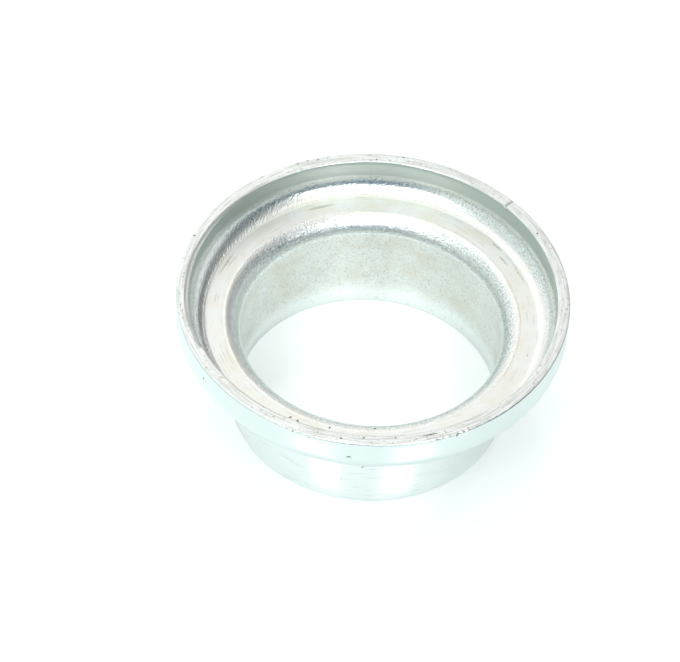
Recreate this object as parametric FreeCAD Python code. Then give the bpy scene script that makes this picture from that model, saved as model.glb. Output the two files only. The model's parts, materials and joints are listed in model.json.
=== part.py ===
"""Stepped deep drawn steel cup, open at both ends.

A disc of sheet is drawn to a shallow wide cup, its floor is drawn down again to a narrower tube, and the
tube's bottom is cut out. What is left is one piece: an upright rim, a flat pressed ledge inside it, and a
thinner tube below. The wall's section is revolved about Z, and the marks that the trimming tool left in the
rim's edge are cut afterwards. The tube's cut end stands on Z = 0, and the origin is the centre of that end.
Lengths are in mm and angles in degrees, counted from +X towards +Y.
"""
import FreeCAD, Part
import math
import os

# Wall: the 1.5 mm sheet thickens a little in the rim, is pressed thinner in the ledge, and is drawn to its
# thinnest in the tube.
RIM_WALL = 1.6
LEDGE_THICKNESS = 1.3
TUBE_WALL = 1.1

# Overall sizes.
RIM_OUTER_RADIUS = 25.0
TUBE_OUTER_RADIUS = 17.85
OVERALL_HEIGHT = 19.5
LEDGE_DEPTH = 4.5

# Bends. The rim's corner is struck home in its die, so its outside is tighter than the inside plus the wall.
RIM_CORNER_INSIDE = 2.2
RIM_CORNER_OUTSIDE = 2.8
DRAW_RADIUS_INSIDE = 2.3
DRAW_RADIUS_OUTSIDE = 1.0

# Edge breaks at the two trimmed edges, measured along each face at 45 degrees.
RIM_EDGE_OUTSIDE = 0.15
RIM_EDGE_INSIDE = 0.1
TUBE_EDGE_OUTSIDE = 0.35
TUBE_EDGE_INSIDE = 0.15

# The rim's inner edge is rubbed down over a quarter turn: the break widens steadily and stops at a step.
RUB_START_ANGLE = 117
RUB_END_ANGLE = 207
RUB_WIDEST = 0.45

# A nick across the rim's top where the trimming cut closed on itself.
NICK_ANGLE = 46
NICK_WIDTH = 0.6
NICK_DEPTH = 0.2

# How far a cutting tool reaches past the face that it cuts.
OVERCUT = 1.0

RIM_INNER_RADIUS = RIM_OUTER_RADIUS - RIM_WALL
TUBE_INNER_RADIUS = TUBE_OUTER_RADIUS - TUBE_WALL
LEDGE_TOP = OVERALL_HEIGHT - LEDGE_DEPTH
LEDGE_UNDERSIDE = LEDGE_TOP - LEDGE_THICKNESS

ORIGIN = FreeCAD.Vector(0, 0, 0)
UP = FreeCAD.Vector(0, 0, 1)


def bent_face(corners):
    """A closed face in the XZ plane through corners of (radius, height, bend radius); 0 is a sharp corner."""
    count = len(corners)
    points = [FreeCAD.Vector(radius, 0, height) for radius, height, _ in corners]
    entries = []
    exits = []
    arcs = []
    for index, corner in enumerate(points):
        bend_radius = corners[index][2]
        to_before = (points[index - 1] - corner).normalize()
        to_after = (points[(index + 1) % count] - corner).normalize()
        half_angle = to_before.getAngle(to_after) / 2
        tangent_length = bend_radius / math.tan(half_angle)
        entries.append(corner + to_before * tangent_length)
        exits.append(corner + to_after * tangent_length)
        inward = (to_before + to_after).normalize()
        middle = corner + inward * (bend_radius / math.sin(half_angle) - bend_radius)
        arcs.append(Part.Arc(entries[-1], middle, exits[-1]) if bend_radius else None)
    edges = []
    for index, arc in enumerate(arcs):
        if arc:
            edges.append(arc.toShape())
        edges.append(Part.LineSegment(exits[index], entries[(index + 1) % count]).toShape())
    return Part.Face(Part.Wire(edges))


def drawn_wall():
    """The stamping before its rim was marked: one section of wall, revolved."""
    corners = [
        (TUBE_INNER_RADIUS, TUBE_EDGE_INSIDE, 0),
        (TUBE_INNER_RADIUS + TUBE_EDGE_INSIDE, 0, 0),
        (TUBE_OUTER_RADIUS - TUBE_EDGE_OUTSIDE, 0, 0),
        (TUBE_OUTER_RADIUS, TUBE_EDGE_OUTSIDE, 0),
        (TUBE_OUTER_RADIUS, LEDGE_UNDERSIDE, DRAW_RADIUS_OUTSIDE),
        (RIM_OUTER_RADIUS, LEDGE_UNDERSIDE, RIM_CORNER_OUTSIDE),
        (RIM_OUTER_RADIUS, OVERALL_HEIGHT - RIM_EDGE_OUTSIDE, 0),
        (RIM_OUTER_RADIUS - RIM_EDGE_OUTSIDE, OVERALL_HEIGHT, 0),
        (RIM_INNER_RADIUS + RIM_EDGE_INSIDE, OVERALL_HEIGHT, 0),
        (RIM_INNER_RADIUS, OVERALL_HEIGHT - RIM_EDGE_INSIDE, 0),
        (RIM_INNER_RADIUS, LEDGE_TOP, RIM_CORNER_INSIDE),
        (TUBE_INNER_RADIUS, LEDGE_TOP, DRAW_RADIUS_INSIDE),
    ]
    return bent_face(corners).revolve(ORIGIN, UP, 360)


def rubbed_edge():
    """The metal gone from the rim's inner edge: a cone set off centre, kept within a quarter turn.

    Its radius equals the plain edge break a quarter turn back from the end, and it stands off centre by the
    rest of the widest break, towards the end.
    """
    offset = RUB_WIDEST - RIM_EDGE_INSIDE
    top_radius = RIM_INNER_RADIUS + RIM_EDGE_INSIDE
    base = FreeCAD.Vector(0, 0, OVERALL_HEIGHT - OVERCUT)
    cone = Part.makeCone(top_radius - OVERCUT, top_radius + OVERCUT, 2 * OVERCUT, base, UP)
    cone.translate(FreeCAD.Vector(offset, 0, 0))
    cone.rotate(ORIGIN, UP, RUB_END_ANGLE)
    sector = Part.makeCylinder(
        RIM_OUTER_RADIUS, 2 * OVERCUT, base, UP, RUB_END_ANGLE - RUB_START_ANGLE
    )
    sector.rotate(ORIGIN, UP, RUB_START_ANGLE)
    return cone.common(sector)


def nick():
    """The notch across the rim's top: a triangular bar lying along a radius."""
    top = OVERALL_HEIGHT
    half_width = NICK_WIDTH / 2 * (NICK_DEPTH + OVERCUT) / NICK_DEPTH
    inner_radius = RIM_INNER_RADIUS - OVERCUT
    outline = [
        FreeCAD.Vector(inner_radius, 0, top - NICK_DEPTH),
        FreeCAD.Vector(inner_radius, half_width, top + OVERCUT),
        FreeCAD.Vector(inner_radius, -half_width, top + OVERCUT),
    ]
    face = Part.Face(Part.makePolygon(outline + outline[:1]))
    bar = face.extrude(FreeCAD.Vector(RIM_WALL + 2 * OVERCUT, 0, 0))
    bar.rotate(ORIGIN, UP, NICK_ANGLE)
    return bar


os.makedirs("parts", exist_ok=True)
drawn_cup = drawn_wall().cut([rubbed_edge(), nick()])
if not drawn_cup.isValid() or len(drawn_cup.Solids) != 1:
    raise RuntimeError("the cup is not one valid solid")
drawn_cup.Solids[0].exportStep("parts/drawn_cup.step")
box = drawn_cup.optimalBoundingBox()
print(f"drawn_cup {drawn_cup.Volume:.1f} mm3, {box.XLength:.2f} x {box.YLength:.2f} x {box.ZLength:.2f} mm")
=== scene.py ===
import json
import math

import bmesh
import bpy
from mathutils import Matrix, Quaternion, Vector, noise


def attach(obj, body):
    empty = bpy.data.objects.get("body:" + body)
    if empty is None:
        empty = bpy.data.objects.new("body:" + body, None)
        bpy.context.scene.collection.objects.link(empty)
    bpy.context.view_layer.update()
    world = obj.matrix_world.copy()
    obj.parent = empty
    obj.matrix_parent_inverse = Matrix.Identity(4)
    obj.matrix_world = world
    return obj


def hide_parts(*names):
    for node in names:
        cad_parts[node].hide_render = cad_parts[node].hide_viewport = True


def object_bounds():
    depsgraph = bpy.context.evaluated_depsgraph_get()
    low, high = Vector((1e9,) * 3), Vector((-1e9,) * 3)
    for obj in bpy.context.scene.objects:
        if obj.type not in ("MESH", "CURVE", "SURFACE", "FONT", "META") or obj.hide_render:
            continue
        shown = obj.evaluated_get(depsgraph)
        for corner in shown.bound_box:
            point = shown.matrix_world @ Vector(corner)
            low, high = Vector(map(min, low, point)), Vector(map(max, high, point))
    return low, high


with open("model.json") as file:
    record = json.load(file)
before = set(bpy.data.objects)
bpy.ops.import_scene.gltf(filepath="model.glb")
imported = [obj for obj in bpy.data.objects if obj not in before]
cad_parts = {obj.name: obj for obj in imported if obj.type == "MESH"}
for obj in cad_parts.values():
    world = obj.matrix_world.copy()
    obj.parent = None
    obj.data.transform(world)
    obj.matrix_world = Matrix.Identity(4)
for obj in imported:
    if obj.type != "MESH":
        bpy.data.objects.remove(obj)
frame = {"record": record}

cad_low, cad_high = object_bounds()
scene = bpy.context.scene

# ---------------------------------------------------------------------------------------------------------
# Camera: a long lens half a metre from the rim, looking down into the cup from its front. It aims a little
# to the left of the cup and below its rim, and is rolled by a few degrees.
# ---------------------------------------------------------------------------------------------------------
MM = 0.001
CAMERA_DISTANCE = 500 * MM
CAMERA_ELEVATION = math.radians(47.63)
CAMERA_ROLL = math.radians(3.33)
CAMERA_LENS, CAMERA_SENSOR = 209.1, 36
CAMERA_NEAREST, CAMERA_FARTHEST = 10 * MM, 10000 * MM
AIM_FROM_RIM = Vector((-3.93, -3.61, -3.29)) * MM

rim_centre = Vector((0, 0, cad_high.z))
towards_camera = Vector((0, -math.cos(CAMERA_ELEVATION), math.sin(CAMERA_ELEVATION)))

camera = bpy.data.objects.new("camera", bpy.data.cameras.new("camera"))
scene.collection.objects.link(camera)
camera.location = rim_centre + towards_camera * CAMERA_DISTANCE
look = rim_centre + AIM_FROM_RIM - camera.location
camera.rotation_mode = "QUATERNION"
camera.rotation_quaternion = Quaternion(look.normalized(), -CAMERA_ROLL) @ look.to_track_quat("-Z", "Y")
camera.data.lens = CAMERA_LENS
camera.data.sensor_width = CAMERA_SENSOR
camera.data.clip_start = CAMERA_NEAREST
camera.data.clip_end = CAMERA_FARTHEST
scene.camera = camera
scene.view_settings.view_transform = "Standard"


# ---------------------------------------------------------------------------------------------------------
# Light tent: white cloth all round, brightest overhead. Its greyer patches lie low towards the camera and
# round by the right to the back, with a faint one at the left. They give bright plate its dark bands.
# ---------------------------------------------------------------------------------------------------------
def linear(hex_colour):
    """An sRGB hex colour as linear RGBA."""
    parts = [int(hex_colour[i : i + 2], 16) / 255 for i in (1, 3, 5)]
    return [c / 12.92 if c <= 0.04045 else ((c + 0.055) / 1.055) ** 2.4 for c in parts] + [1]


def add_node(tree, kind, settings, links):
    """Adds a shader node. settings are its properties and socket values, links the sockets that feed it."""
    node = tree.nodes.new("ShaderNode" + kind)
    for name, value in settings.items():
        if isinstance(name, str) and hasattr(node, name):
            setattr(node, name, value)
        else:
            node.inputs[name].default_value = value
    for name, source in links.items():
        tree.links.new(source, node.inputs[name])
    return node


def heading(azimuth, elevation):
    """The unit vector at an azimuth in degrees, 0 towards the camera and positive to its right."""
    a, e = math.radians(azimuth), math.radians(elevation)
    return Vector((math.sin(a) * math.cos(e), -math.cos(a) * math.cos(e), math.sin(e)))


CLOTH = "#FFFFFF"
TENT_PATCHES = (
    # azimuth, elevation, angle where it is full, angle where it has faded, colour
    (-78, 26, 14, 48, "#DEE8E5"),
    (72, 22, 11, 27, "#747D81"),
    (93, 39, 12, 26, "#7E868A"),
    (114, 45, 10, 25, "#7B8182"),
    (136, 45, 11, 24, "#8E9291"),
    (151, 36, 9, 21, "#74767A"),
    (46, 6, 16, 32, "#77828A"),
    (2, 2, 22, 36, "#6B8096"),
)
TENT_LIGHTS = (
    # azimuth, elevation, angle where it is full, angle where it has faded, how much brighter
    (5, 64, 24, 44, 0.18),
    (180, 66, 20, 38, 0.27),
)

world = bpy.data.worlds.new("light_tent")
scene.world = world
world.use_nodes = True
tree = world.node_tree
tree.nodes.clear()
direction = add_node(tree, "TexCoord", {}, {}).outputs["Generated"]


def patch(azimuth, elevation, full, faded):
    """How much of a round patch of the tent's cloth lies in the direction that is looked at."""
    centre = heading(azimuth, elevation)
    cosine = add_node(tree, "VectorMath", {"operation": "DOT_PRODUCT", 1: centre}, {0: direction})
    limits = {"From Min": math.cos(math.radians(faded)), "From Max": math.cos(math.radians(full))}
    shape = {"interpolation_type": "SMOOTHSTEP", **limits}
    return add_node(tree, "MapRange", shape, {"Value": cosine.outputs["Value"]}).outputs[0]


colour = None
for azimuth, elevation, full, faded, hex_colour in TENT_PATCHES:
    links = {0: patch(azimuth, elevation, full, faded)}
    if colour:
        links[6] = colour
    ends = {"data_type": "RGBA", 6: linear(CLOTH), 7: linear(hex_colour)}
    colour = add_node(tree, "Mix", ends, links).outputs[2]
strength = None
for azimuth, elevation, full, faded, extra in TENT_LIGHTS:
    links = {0: patch(azimuth, elevation, full, faded)}
    if strength:
        links[2] = strength
    strength = add_node(tree, "Math", {"operation": "MULTIPLY_ADD", 1: extra, 2: 1}, links).outputs[0]
lit = add_node(tree, "Background", {}, {"Color": colour, "Strength": strength}).outputs[0]
white = add_node(tree, "Background", {"Color": (1, 1, 1, 1), "Strength": 1}, {}).outputs[0]
camera_ray = add_node(tree, "LightPath", {}, {}).outputs["Is Camera Ray"]
shown = add_node(tree, "MixShader", {}, {0: camera_ray, 1: lit, 2: white}).outputs[0]
add_node(tree, "OutputWorld", {}, {"Surface": shown})

SOFTBOXES = ((-30, 4.2), (30, 6))  # azimuth and radiance
SOFTBOX_ELEVATION = 50
SOFTBOX_DISTANCE = 700 * MM
SOFTBOX_SIZE = 190 * MM
for azimuth, radiance in SOFTBOXES:
    lamp = bpy.data.lights.new("softbox", "AREA")
    lamp.shape = "SQUARE"
    lamp.size = SOFTBOX_SIZE
    lamp.energy = radiance * math.pi * SOFTBOX_SIZE**2
    softbox = bpy.data.objects.new("softbox", lamp)
    scene.collection.objects.link(softbox)
    softbox.location = heading(azimuth, SOFTBOX_ELEVATION) * SOFTBOX_DISTANCE
    softbox.rotation_euler = (-softbox.location).to_track_quat("-Z", "Y").to_euler()

# ---------------------------------------------------------------------------------------------------------
# Table: glossy white acrylic. Its sheen mirrors the softboxes, which puts the two bright bands on the
# cup's outer wall. What the camera and the plate see of it is lifted to white; the shadow stays.
# ---------------------------------------------------------------------------------------------------------
TABLE_HALF = 1500 * MM
TABLE_COLOUR = "#F0F8F7"
ACRYLIC = {"Roughness": 0.14, "IOR": 1.49, "Specular IOR Level": 1}
TABLE_LIFT_SEEN = 0.25
TABLE_LIFT_MIRRORED = 0.16

table = bpy.data.materials.new("white_acrylic")
table.use_nodes = True
tree = table.node_tree
tree.nodes.clear()
acrylic = {"Base Color": linear(TABLE_COLOUR), **ACRYLIC}
body = add_node(tree, "BsdfPrincipled", acrylic, {}).outputs[0]
path = add_node(tree, "LightPath", {}, {})
seen = {"operation": "MULTIPLY", 1: TABLE_LIFT_SEEN}
seen_lift = add_node(tree, "Math", seen, {0: path.outputs["Is Camera Ray"]}).outputs[0]
mirrored = {"operation": "MULTIPLY_ADD", 1: TABLE_LIFT_MIRRORED}
lift = add_node(tree, "Math", mirrored, {0: path.outputs["Is Glossy Ray"], 2: seen_lift}).outputs[0]
glow = add_node(tree, "Emission", {"Color": (1, 1, 1, 1)}, {"Strength": lift}).outputs[0]
surface = add_node(tree, "AddShader", {}, {0: body, 1: glow}).outputs[0]
add_node(tree, "OutputMaterial", {}, {"Surface": surface})

bm = bmesh.new()
bmesh.ops.create_grid(bm, x_segments=1, y_segments=1, size=TABLE_HALF)
floor = bpy.data.objects.new("floor", bpy.data.meshes.new("floor"))
bm.to_mesh(floor.data)
bm.free()
floor.data.materials.append(table)
scene.collection.objects.link(floor)

# ---------------------------------------------------------------------------------------------------------
# Drawn cup: one piece of deep drawing steel, drawn wide, drawn again to a narrower tube, pierced through
# and trimmed, then barrel plated with zinc under a thin clear passivate.
# ---------------------------------------------------------------------------------------------------------
mounts = {mount["name"]: mount["dims"] for mount in frame["record"]["mounts"]}
RIM_OUTER = cad_high.x
RIM_INNER = mounts["rim_recess"]["r_mm"] * MM
TUBE_OUTER = mounts["tube_outside"]["r_mm"] * MM
TUBE_INNER = mounts["tube_bore"]["r_mm"] * MM
RIM_TOP = cad_high.z
LEDGE_DEPTH, LEDGE_THICKNESS = 4.5 * MM, 1.3 * MM
LEDGE_TOP = RIM_TOP - LEDGE_DEPTH
LEDGE_UNDERSIDE = LEDGE_TOP - LEDGE_THICKNESS
FILLET, RIM_CORNER = 2.2 * MM, 2.8 * MM
DRAW_RADIUS, UNDER_BEND = 2.3 * MM, 1.0 * MM
TINY = 0.001 * MM
TURN_STEPS = 1080
SECTORS = 12

SECTION = (
    # radius, height, bend radius, segments in the bend, cuts in the straight stretch that follows
    (TUBE_INNER, 0, 0.15 * MM, 2, 1),
    (TUBE_OUTER, 0, 0.35 * MM, 3, 3),
    (TUBE_OUTER, LEDGE_UNDERSIDE, UNDER_BEND, 6, 1),
    (RIM_OUTER, LEDGE_UNDERSIDE, RIM_CORNER, 9, 5),
    (RIM_OUTER, RIM_TOP, 0.15 * MM, 3, 6),
    (RIM_INNER, RIM_TOP, 0.1 * MM, 2, 3),
    (RIM_INNER, LEDGE_TOP, FILLET, 12, 4),
    (TUBE_INNER, LEDGE_TOP, DRAW_RADIUS, 12, 5),
)

bm = bmesh.new()
corners = [bm.verts.new((radius, 0, height)) for radius, height, _, _, _ in SECTION]
for index, corner in enumerate(corners):
    bm.edges.new((corners[index - 1], corner))
for (_, _, bend_radius, segments, _), corner in zip(SECTION, corners):
    bmesh.ops.bevel(
        bm,
        geom=[corner],
        offset=bend_radius,
        offset_type="OFFSET",
        segments=segments,
        profile=0.5,
        affect="VERTICES",
        material=-1,
    )
for corner, following in zip(SECTION, SECTION[1:] + SECTION[:1]):
    start = Vector((corner[0], 0, corner[1]))
    end = Vector((following[0], 0, following[1]))
    along = (end - start).normalized()
    middle = (start + along * corner[2] + end - along * following[2]) / 2
    straight = min(bm.edges, key=lambda edge: ((edge.verts[0].co + edge.verts[1].co) / 2 - middle).length)
    bmesh.ops.subdivide_edges(bm, edges=[straight], cuts=corner[4])


def ramp(value, low, high):
    """0 at low, 1 at high, straight between them and held beyond them. low may be the greater."""
    return min(1, max(0, (value - low) / (high - low)))


# How each stretch of the section was worked, for the material: 1 on it, 0 off it, and graded where two meet.
# The limits say where in a bend that is, as shares of its height.
LEDGE_INTO_FILLET, FILLET_INTO_WALL = 0.2, 0.8
LEDGE_INTO_SHOULDER, SHOULDER_INTO_BORE, BORE_FULL = 0.1, 0.88, 1.02
TRIM_MARGIN = 0.1 * MM
BEND_TOLERANCE = 10 * TINY
ledge = bm.verts.layers.float.new("ledge")
trimmed = bm.verts.layers.float.new("trimmed")
fillet = bm.verts.layers.float.new("fillet")
shoulder = bm.verts.layers.float.new("shoulder")
bore = bm.verts.layers.float.new("bore")
wall = bm.verts.layers.float.new("wall")
skirt = bm.verts.layers.float.new("skirt")
draw_centre = Vector((TUBE_INNER + DRAW_RADIUS, 0, LEDGE_TOP - DRAW_RADIUS))
for vert in bm.verts:
    radius, height = vert.co.x, vert.co.z
    climb = (height - LEDGE_TOP) / FILLET
    drop = (LEDGE_TOP - height) / DRAW_RADIUS
    if height > RIM_TOP - TINY and radius < RIM_OUTER - TRIM_MARGIN:
        vert[trimmed] = 1
    elif abs(height - LEDGE_TOP) < TINY:
        vert[ledge] = 1
    elif radius < RIM_INNER + TINY and climb > 0:
        vert[fillet] = float(climb < 1 + TINY)
        vert[ledge] = ramp(climb, LEDGE_INTO_FILLET, 0)
        vert[wall] = ramp(climb, FILLET_INTO_WALL, 1)
    elif drop > 0 and abs((vert.co - draw_centre).length - DRAW_RADIUS) < BEND_TOLERANCE:
        vert[shoulder] = 1
        vert[ledge] = ramp(drop, LEDGE_INTO_SHOULDER, 0)
        vert[bore] = ramp(drop, SHOULDER_INTO_BORE, BORE_FULL)
    elif radius < TUBE_INNER + TINY:
        vert[bore] = 1
    elif radius > RIM_OUTER - RIM_CORNER and height > LEDGE_UNDERSIDE - TINY:
        vert[skirt] = 1

spun = {"cent": (0, 0, 0), "axis": (0, 0, 1)}
sector = math.tau / SECTORS
bmesh.ops.spin(bm, geom=bm.verts[:] + bm.edges[:], angle=sector, steps=TURN_STEPS // SECTORS, **spun)
bmesh.ops.spin(
    bm,
    geom=bm.verts[:] + bm.edges[:] + bm.faces[:],
    angle=math.tau - sector,
    steps=SECTORS - 1,
    use_duplicate=True,
    **spun,
)
bmesh.ops.remove_doubles(bm, verts=bm.verts, dist=TINY)
bmesh.ops.recalc_face_normals(bm, faces=bm.faces)

# Handling marks. The walls wander by about a hundredth of a millimetre. The rim's inner edge is rubbed down
# over a quarter turn, its top has a nick, and its outer edge is battered at the front.
RIM_ZONE = 1 * MM
WANDER, WANDER_LENGTH = 0.014 * MM, 5 * MM
RUB_START, RUB_END = 117, 207
RUB_BREAK, RUB_WIDEST = 0.1 * MM, 0.45 * MM
NICK_ANGLE = math.radians(46)
NICK_WIDTH, NICK_DEPTH = 0.6 * MM, 0.2 * MM
BATTERED_ANGLE, BATTERED_REACH, BATTERED_COVER = -85, 50, 0.3
BATTERED_BAND, BATTERED_DEPTH, BATTERED_LENGTH = 0.6 * MM, 0.07 * MM, 0.5 * MM

rub_shift = Vector((math.cos(math.radians(RUB_END)), math.sin(math.radians(RUB_END)), 0))
rub_shift *= RUB_WIDEST - RUB_BREAK
nick_along = Vector((math.cos(NICK_ANGLE), math.sin(NICK_ANGLE), 0))
nick_across = Vector((-math.sin(NICK_ANGLE), math.cos(NICK_ANGLE), 0))
for vert in bm.verts:
    outward = Vector((vert.co.x, vert.co.y, 0))
    radius = outward.length
    angle = math.degrees(math.atan2(vert.co.y, vert.co.x))
    wander = (noise.noise(vert.co / WANDER_LENGTH) + 1) / 2
    if RIM_TOP - vert.co.z < RIM_ZONE:
        if RUB_START <= angle % 360 <= RUB_END:
            rubbed = RIM_TOP + (outward - rub_shift).length - RIM_INNER - RUB_BREAK
            vert.co.z = min(vert.co.z, rubbed)
        across = abs(vert.co.dot(nick_across)) / (NICK_WIDTH / 2)
        if across < 1 and vert.co.dot(nick_along) > 0:
            vert.co.z = min(vert.co.z, RIM_TOP - NICK_DEPTH * (1 - across))
        near_edge = ramp(RIM_OUTER - radius + RIM_TOP - vert.co.z, BATTERED_BAND, 0)
        battered = near_edge * ramp(abs(angle - BATTERED_ANGLE), BATTERED_REACH, BATTERED_REACH / 2)
        if battered > 0:
            dent = max(0, noise.noise(vert.co / BATTERED_LENGTH) + BATTERED_COVER)
            vert.co.z -= BATTERED_DEPTH * battered * dent
            wander += BATTERED_DEPTH / WANDER * battered * dent
    vert.co -= outward / radius * WANDER * wander
for face in bm.faces:
    face.smooth = True
cup = bpy.data.objects.new("plated_cup", bpy.data.meshes.new("plated_cup"))
bm.to_mesh(cup.data)
bm.free()
scene.collection.objects.link(cup)

# Bright zinc plate: a silvery metal whose face shows how the steel under it was worked. It is smooth and
# mirror-like on the drawn outside, stretched to an orange peel round the bends, struck flat and satin on the
# ledge, cut in fine rings on the rim's top, and dull where the punch dragged along the bore.
# Painted shade darkens the pits of the orange peel round the bends and in the bore.
PLATE = "#F4F9F7"
# The skirt is painted darker than the tube with painted shade, offsetting the brighter, unshadowed table it
# mirrors; its cyan is the passivate's tint.
SKIRT_SHADED_PLATE = "#E2ECEB"
LEDGE_PLATE = "#F5F7F4"
LEDGE_STAIN = "#F0EFE3"
LEDGE_SCRATCH = "#C6C9C2"
TRIMMED_PLATE = "#F3F6F4"
TRIMMED_DULL = "#D9DBD5"
BORE_PLATE = "#E6ECE8"
BORE_STAIN = "#DFDDD3"
# The rim's inner wall is darkened with painted shade for its recess, on the passivate's green tint.
WALL_SHADED_PLATE = "#C9D4D0"
SCUFF = "#E3EAE8"
PINHOLE = "#B6B4AA"
# PEEL_SHADE and BORE_SHADE are painted shade in the pits of the orange peel.
PEEL_SHADE = "#9AA6AD"
BORE_SHADE = "#C6CAC3"
GRIME = "#6A6258"

plate = bpy.data.materials.new("bright_zinc_plate")
plate.use_nodes = True
tree = plate.node_tree
tree.nodes.clear()

# Every pattern and share in the material is kept by name. The first are the mesh's record of its working.
value = {}
for name in ("ledge", "trimmed", "fillet", "shoulder", "bore", "wall", "skirt"):
    value[name] = add_node(tree, "Attribute", {"attribute_name": name}, {}).outputs["Fac"]

# Places on the cup in millimetres: the point itself, and its way round and its way along the section.
object_place = add_node(tree, "TexCoord", {}, {}).outputs["Object"]
millimetres = add_node(tree, "VectorMath", {"operation": "SCALE", 3: 1 / MM}, {0: object_place}).outputs[0]
split = add_node(tree, "SeparateXYZ", {}, {0: millimetres})
flat_place = add_node(tree, "CombineXYZ", {}, {0: split.outputs[0], 1: split.outputs[1]}).outputs[0]
radius_mm = add_node(tree, "VectorMath", {"operation": "LENGTH"}, {0: flat_place}).outputs["Value"]
way_round = add_node(tree, "VectorMath", {"operation": "NORMALIZE"}, {0: flat_place}).outputs[0]
value["height"] = split.outputs[2]
way_along = add_node(tree, "Math", {"operation": "ADD"}, {0: radius_mm, 1: value["height"]}).outputs[0]

# Orange peel: the steel's crystals are about 0.05 mm, too fine to show, so the peel is drawn at 0.2 mm.
# Mottle: patches of thicker and thinner passivate, 1 to 3 mm across.
# Flecks: pinholes and grit in the plate, 0.1 mm, drawn at 0.3 mm so that they show.
EVEN_PATTERNS = (
    # name, waves in a millimetre, detail, roughness
    ("peel", 5, 2, 0.6),
    ("mottle", 0.3, 5, 0.6),
    ("flecks", 3.2, 1, 0.5),
)
for name, waves, detail, rough in EVEN_PATTERNS:
    settings = {"Scale": waves, "Detail": detail, "Roughness": rough}
    value[name] = add_node(tree, "TexNoise", settings, {"Vector": millimetres}).outputs[0]

# Rings: trimming and handling scratches that run round the cup, about 0.2 mm apart and some 4 mm long.
# Drag: the punch's marks along the bore, about 0.35 mm apart. Leaning: shorter ones, about 0.45 mm apart, that
# slant round the bends.
DRAWN_OUT_PATTERNS = (
    # name, waves in a millimetre round the cup and along its section, and slant in radians a millimetre
    ("rings", 0.25, 5, 0),
    ("drag", 2.8, 0.25, 0),
    ("leaning", 2.2, 0.6, 0.045),
)
for name, round_waves, along_waves, slant in DRAWN_OUT_PATTERNS:
    turn = add_node(tree, "Math", {"operation": "MULTIPLY", 1: slant}, {0: way_along}).outputs[0]
    about_z = {"rotation_type": "Z_AXIS"}
    turned = add_node(tree, "VectorRotate", about_z, {"Vector": way_round, "Angle": turn}).outputs[0]
    grown = {"operation": "SCALE", 3: round_waves * RIM_OUTER / MM}
    around = add_node(tree, "VectorMath", grown, {0: turned}).outputs[0]
    rise = add_node(tree, "Math", {"operation": "MULTIPLY", 1: along_waves}, {0: way_along}).outputs[0]
    upward = add_node(tree, "CombineXYZ", {}, {2: rise}).outputs[0]
    place = add_node(tree, "VectorMath", {"operation": "ADD"}, {0: around, 1: upward}).outputs[0]
    settings = {"Scale": 1, "Detail": 3, "Roughness": 0.6}
    value[name] = add_node(tree, "TexNoise", settings, {"Vector": place}).outputs[0]

# Single marks: grit under the plate, dings with grime in them and short scores. The flecks make their edges
# ragged. A mark is full inside half its own radius.
MARK_CORE = 0.5
SPOTS = (
    # angle anticlockwise from +X in degrees; radius, height and the spot's own radius in mm; darkness
    (-118.0, 19.8, 15.0, 0.2, 1),
    (-115.1, 19.8, 15.0, 0.22, 1),
    (-103.1, 19.2, 15.0, 0.16, 1),
    (-96.7, 24.3, 19.5, 0.18, 1),
    (-90.1, 23.8, 19.5, 0.16, 1),
    (-80.7, 23.8, 19.5, 0.16, 1),
    (-63.0, 25.0, 19.2, 0.2, 0.9),
    (-110.7, 25.0, 19.4, 0.2, 0.9),
    (-105.5, 25.0, 19.2, 0.16, 0.9),
    (116.5, 24.7, 19.5, 0.18, 0.9),
    (113.2, 24.8, 19.5, 0.14, 0.8),
    (110.1, 24.6, 19.5, 0.18, 0.9),
    (91.9, 23.9, 19.5, 0.18, 0.9),
    (83.7, 24.7, 19.5, 0.14, 0.8),
    (129.0, 24.7, 19.5, 0.16, 1),
    (160.9, 24.8, 19.5, 0.2, 1),
    (31.4, 24.0, 19.5, 0.18, 0.9),
    (-89.8, 17.85, 6.7, 0.15, 0.6),
    (-98.4, 17.85, 4.0, 0.12, 0.6),
    (-144.8, 25.0, 17.7, 0.2, 0.8),
    (-13.0, 20.4, 15.0, 0.16, 1),
    (-86.0, 18.3, 14.9, 0.16, 1),
)
SCORES = (
    # angle of its middle, radius, height, half its width, half its length round the cup, and darkness
    (-70.2, 24.0, 19.5, 0.15, 1.4, 0.75),
    (112.0, 20.4, 15.0, 0.26, 2.4, 0.3),
    (158.0, 20.7, 15.0, 0.12, 2.8, 0.35),
    (42.0, 20.9, 15.0, 0.16, 1.5, 0.4),
    (35.0, 20.1, 15.0, 0.16, 1.2, 0.4),
    (27.0, 20.8, 15.0, 0.12, 2.4, 0.3),
    (-146.0, 18.7, 15.0, 0.12, 1.6, 0.4),
    (-93.9, 25.0, 17.0, 0.12, 0.5, 0.8),
)
RAGGED = 0.5
ragged_by = {"operation": "MULTIPLY_ADD", 1: (RAGGED, RAGGED, RAGGED)}
ragged = add_node(tree, "VectorMath", ragged_by, {0: value["flecks"], 2: millimetres}).outputs[0]
offset = Vector((RAGGED, RAGGED, RAGGED)) / 2
marks = [(angle, radius, height, size, size, dark) for angle, radius, height, size, dark in SPOTS]
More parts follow.
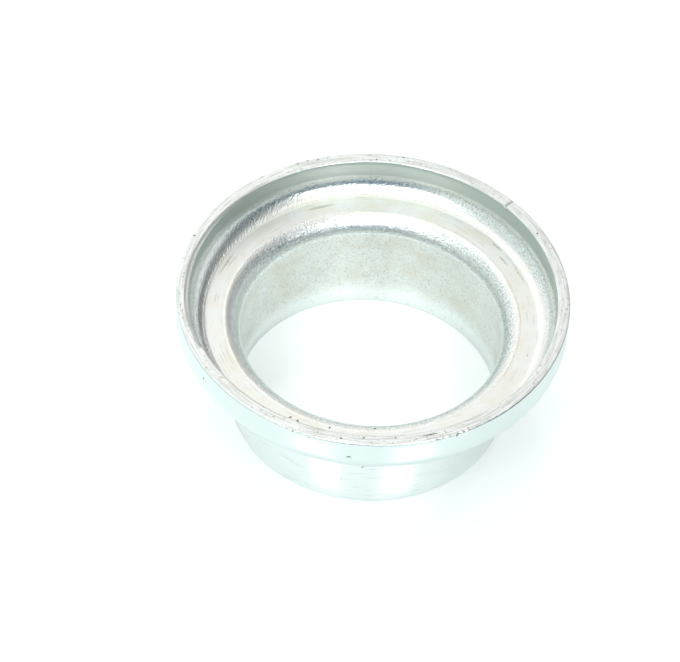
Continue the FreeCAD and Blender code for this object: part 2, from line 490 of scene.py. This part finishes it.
for angle, radius, height, width, length, dark in marks + list(SCORES):
    turn = math.radians(angle)
    centre = offset + Vector((radius * math.cos(turn), radius * math.sin(turn), height))
    own_place = {
        "vector_type": "TEXTURE",
        "Location": centre,
        "Rotation": (0, 0, turn),
        "Scale": (width, length, width),
    }
    reach = add_node(tree, "Mapping", own_place, {"Vector": ragged}).outputs[0]
    away = add_node(tree, "VectorMath", {"operation": "LENGTH"}, {0: reach}).outputs["Value"]
    edge = {"interpolation_type": "SMOOTHSTEP", "From Min": 1, "From Max": MARK_CORE, "To Max": dark}
    mark = add_node(tree, "MapRange", edge, {"Value": away}).outputs[0]
    links = {0: mark, 1: value["marks"]} if "marks" in value else {0: mark}
    value["marks"] = add_node(tree, "Math", {"operation": "MAXIMUM", 1: 0}, links).outputs[0]

# Where a pattern counts: 0 at the first limit, 1 at the second, and held beyond them.
WINDOWS = (
    # The bore is darker and rougher above its lowest 1.5 to 5 mm, and lighter and smoother below.
    ("above_bore_foot", "height", 1.5, 5),
    ("stained", "mottle", 0.32, 0.72),
    ("ringed", "rings", 0.42, 0.62),
    ("scuffed", "rings", 0.57, 0.68),
    ("pinholes", "flecks", 0.61, 0.78),
    ("pits", "peel", 0.48, 0.37),
)
for name, pattern, low, high in WINDOWS:
    limits = {"interpolation_type": "SMOOTHSTEP", "From Min": low, "From Max": high}
    value[name] = add_node(tree, "MapRange", limits, {"Value": value[pattern]}).outputs[0]

# Shares worked out from the others. A term is another share's name or a number.
SHARES = (
    ("dull_bore", "MULTIPLY", "bore", "above_bore_foot"),
    ("bent", "ADD", "fillet", "shoulder"),
    ("drawn_in", "MAXIMUM", "bore", "wall"),
    ("inside", "MAXIMUM", "bent", "drawn_in"),
    ("flat", "ADD", "ledge", "trimmed"),
    ("covered", "ADD", "inside", "flat"),
    ("outside", "SUBTRACT", 1, "covered"),
    ("scuffed_outside", "MULTIPLY", "outside", "scuffed"),
    ("some_fillet", "MULTIPLY", "fillet", 0.5),
    ("peel_shading", "MULTIPLY_ADD", "shoulder", 0.6, "some_fillet"),
    # painted shade in the peel's pits round the bends
    ("bend_pit_shade", "MULTIPLY", "peel_shading", "pits"),
    ("stained_ledge", "MULTIPLY", "ledge", "stained"),
    ("scuffed_ledge", "MULTIPLY", "ledge", "scuffed"),
    ("scratched_ledge", "MULTIPLY", "scuffed_ledge", 0.4),
    ("ringed_trim", "MULTIPLY", "trimmed", "ringed"),
    ("stained_bore", "MULTIPLY", "dull_bore", "stained"),
    ("some_bore", "MULTIPLY", "bore", 0.2),
    ("bore_pit_shading", "MULTIPLY_ADD", "dull_bore", 0.6, "some_bore"),
    # painted shade in the peel's pits in the bore
    ("bore_pit_shade", "MULTIPLY", "bore_pit_shading", "pits"),
    ("holed", "MULTIPLY_ADD", "bore", 0.5, "trimmed"),
    ("pinholed", "MULTIPLY", "holed", "pinholes"),
    ("ringed_outside", "MULTIPLY", "ringed", 0.3),
)
for name, operation, *terms in SHARES:
    links = {index: value[term] for index, term in enumerate(terms) if term in value}
    settings = {index: term for index, term in enumerate(terms) if term not in value}
    value[name] = add_node(tree, "Math", {"operation": operation, **settings}, links).outputs[0]

# What the plate gives on the drawn outside, and in turn what each share changes it to. Depths are in mm.
FINISH = {
    "colour": (
        PLATE,
        ("skirt", SKIRT_SHADED_PLATE),
        ("scuffed_outside", SCUFF),
        # painted shade in the peel's pits
        ("bend_pit_shade", PEEL_SHADE),
        ("ledge", LEDGE_PLATE),
        ("stained_ledge", LEDGE_STAIN),
        ("scratched_ledge", LEDGE_SCRATCH),
        ("trimmed", TRIMMED_PLATE),
        ("ringed_trim", TRIMMED_DULL),
        ("dull_bore", BORE_PLATE),
        ("stained_bore", BORE_STAIN),
        # painted shade in the peel's pits
        ("bore_pit_shade", BORE_SHADE),
        ("wall", WALL_SHADED_PLATE),
        ("pinholed", PINHOLE),
        ("marks", GRIME),
    ),
    "roughness": (
        0.17,
        ("ringed_outside", 0.35),
        ("ledge", 0.42),
        ("trimmed", 0.4),
        ("fillet", 0.13),
        ("shoulder", 0.09),
        ("bore", 0.3),
        ("dull_bore", 0.38),
        ("wall", 0.48),
        ("marks", 0.7),
    ),
    "peel_depth": (0, ("fillet", 0.035), ("shoulder", 0.08), ("bore", 0.035), ("wall", 0)),
    "leaning_depth": (0, ("fillet", 0.03), ("shoulder", 0.006), ("bore", 0), ("wall", 0)),
    "drag_depth": (0, ("dull_bore", 0.012), ("wall", 0.006)),
    "rings_depth": (0.006, ("ledge", 0.012), ("trimmed", 0.014), ("bent", 0), ("bore", 0.002)),
    "marks_depth": (0, ("marks", -0.05)),
}
# Each change is mixed over what came before it. A Mix node's sockets, two in and one out, are 6, 7 and 2 for
# colours, and 2, 3 and 0 for plain values.
for name, (plain, *changes) in FINISH.items():
    coloured = isinstance(plain, str)
    below, above, result = (6, 7, 2) if coloured else (2, 3, 0)
    for share, changed in changes:
        if coloured:
            settings = {"data_type": "RGBA", below: linear(plain), above: linear(changed)}
        else:
            settings = {below: plain, above: changed}
        links = {0: value[share], below: value[name]} if name in value else {0: value[share]}
        value[name] = add_node(tree, "Mix", settings, links).outputs[result]

relief = None
for pattern in ("peel", "leaning", "drag", "rings", "marks"):
    links = {0: value[pattern], 1: value[pattern + "_depth"]}
    if relief:
        links[2] = relief
    relief = add_node(tree, "Math", {"operation": "MULTIPLY_ADD", 2: 0}, links).outputs[0]
bump = add_node(tree, "Bump", {"Strength": 1, "Distance": 1 * MM}, {"Height": relief}).outputs[0]
metal_links = {"Base Color": value["colour"], "Roughness": value["roughness"], "Normal": bump}
metal = add_node(tree, "BsdfPrincipled", {"Metallic": 1}, metal_links).outputs[0]
add_node(tree, "OutputMaterial", {}, {"Surface": metal})
cup.data.materials.append(plate)

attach(cup, "root")
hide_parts("drawn_cup")
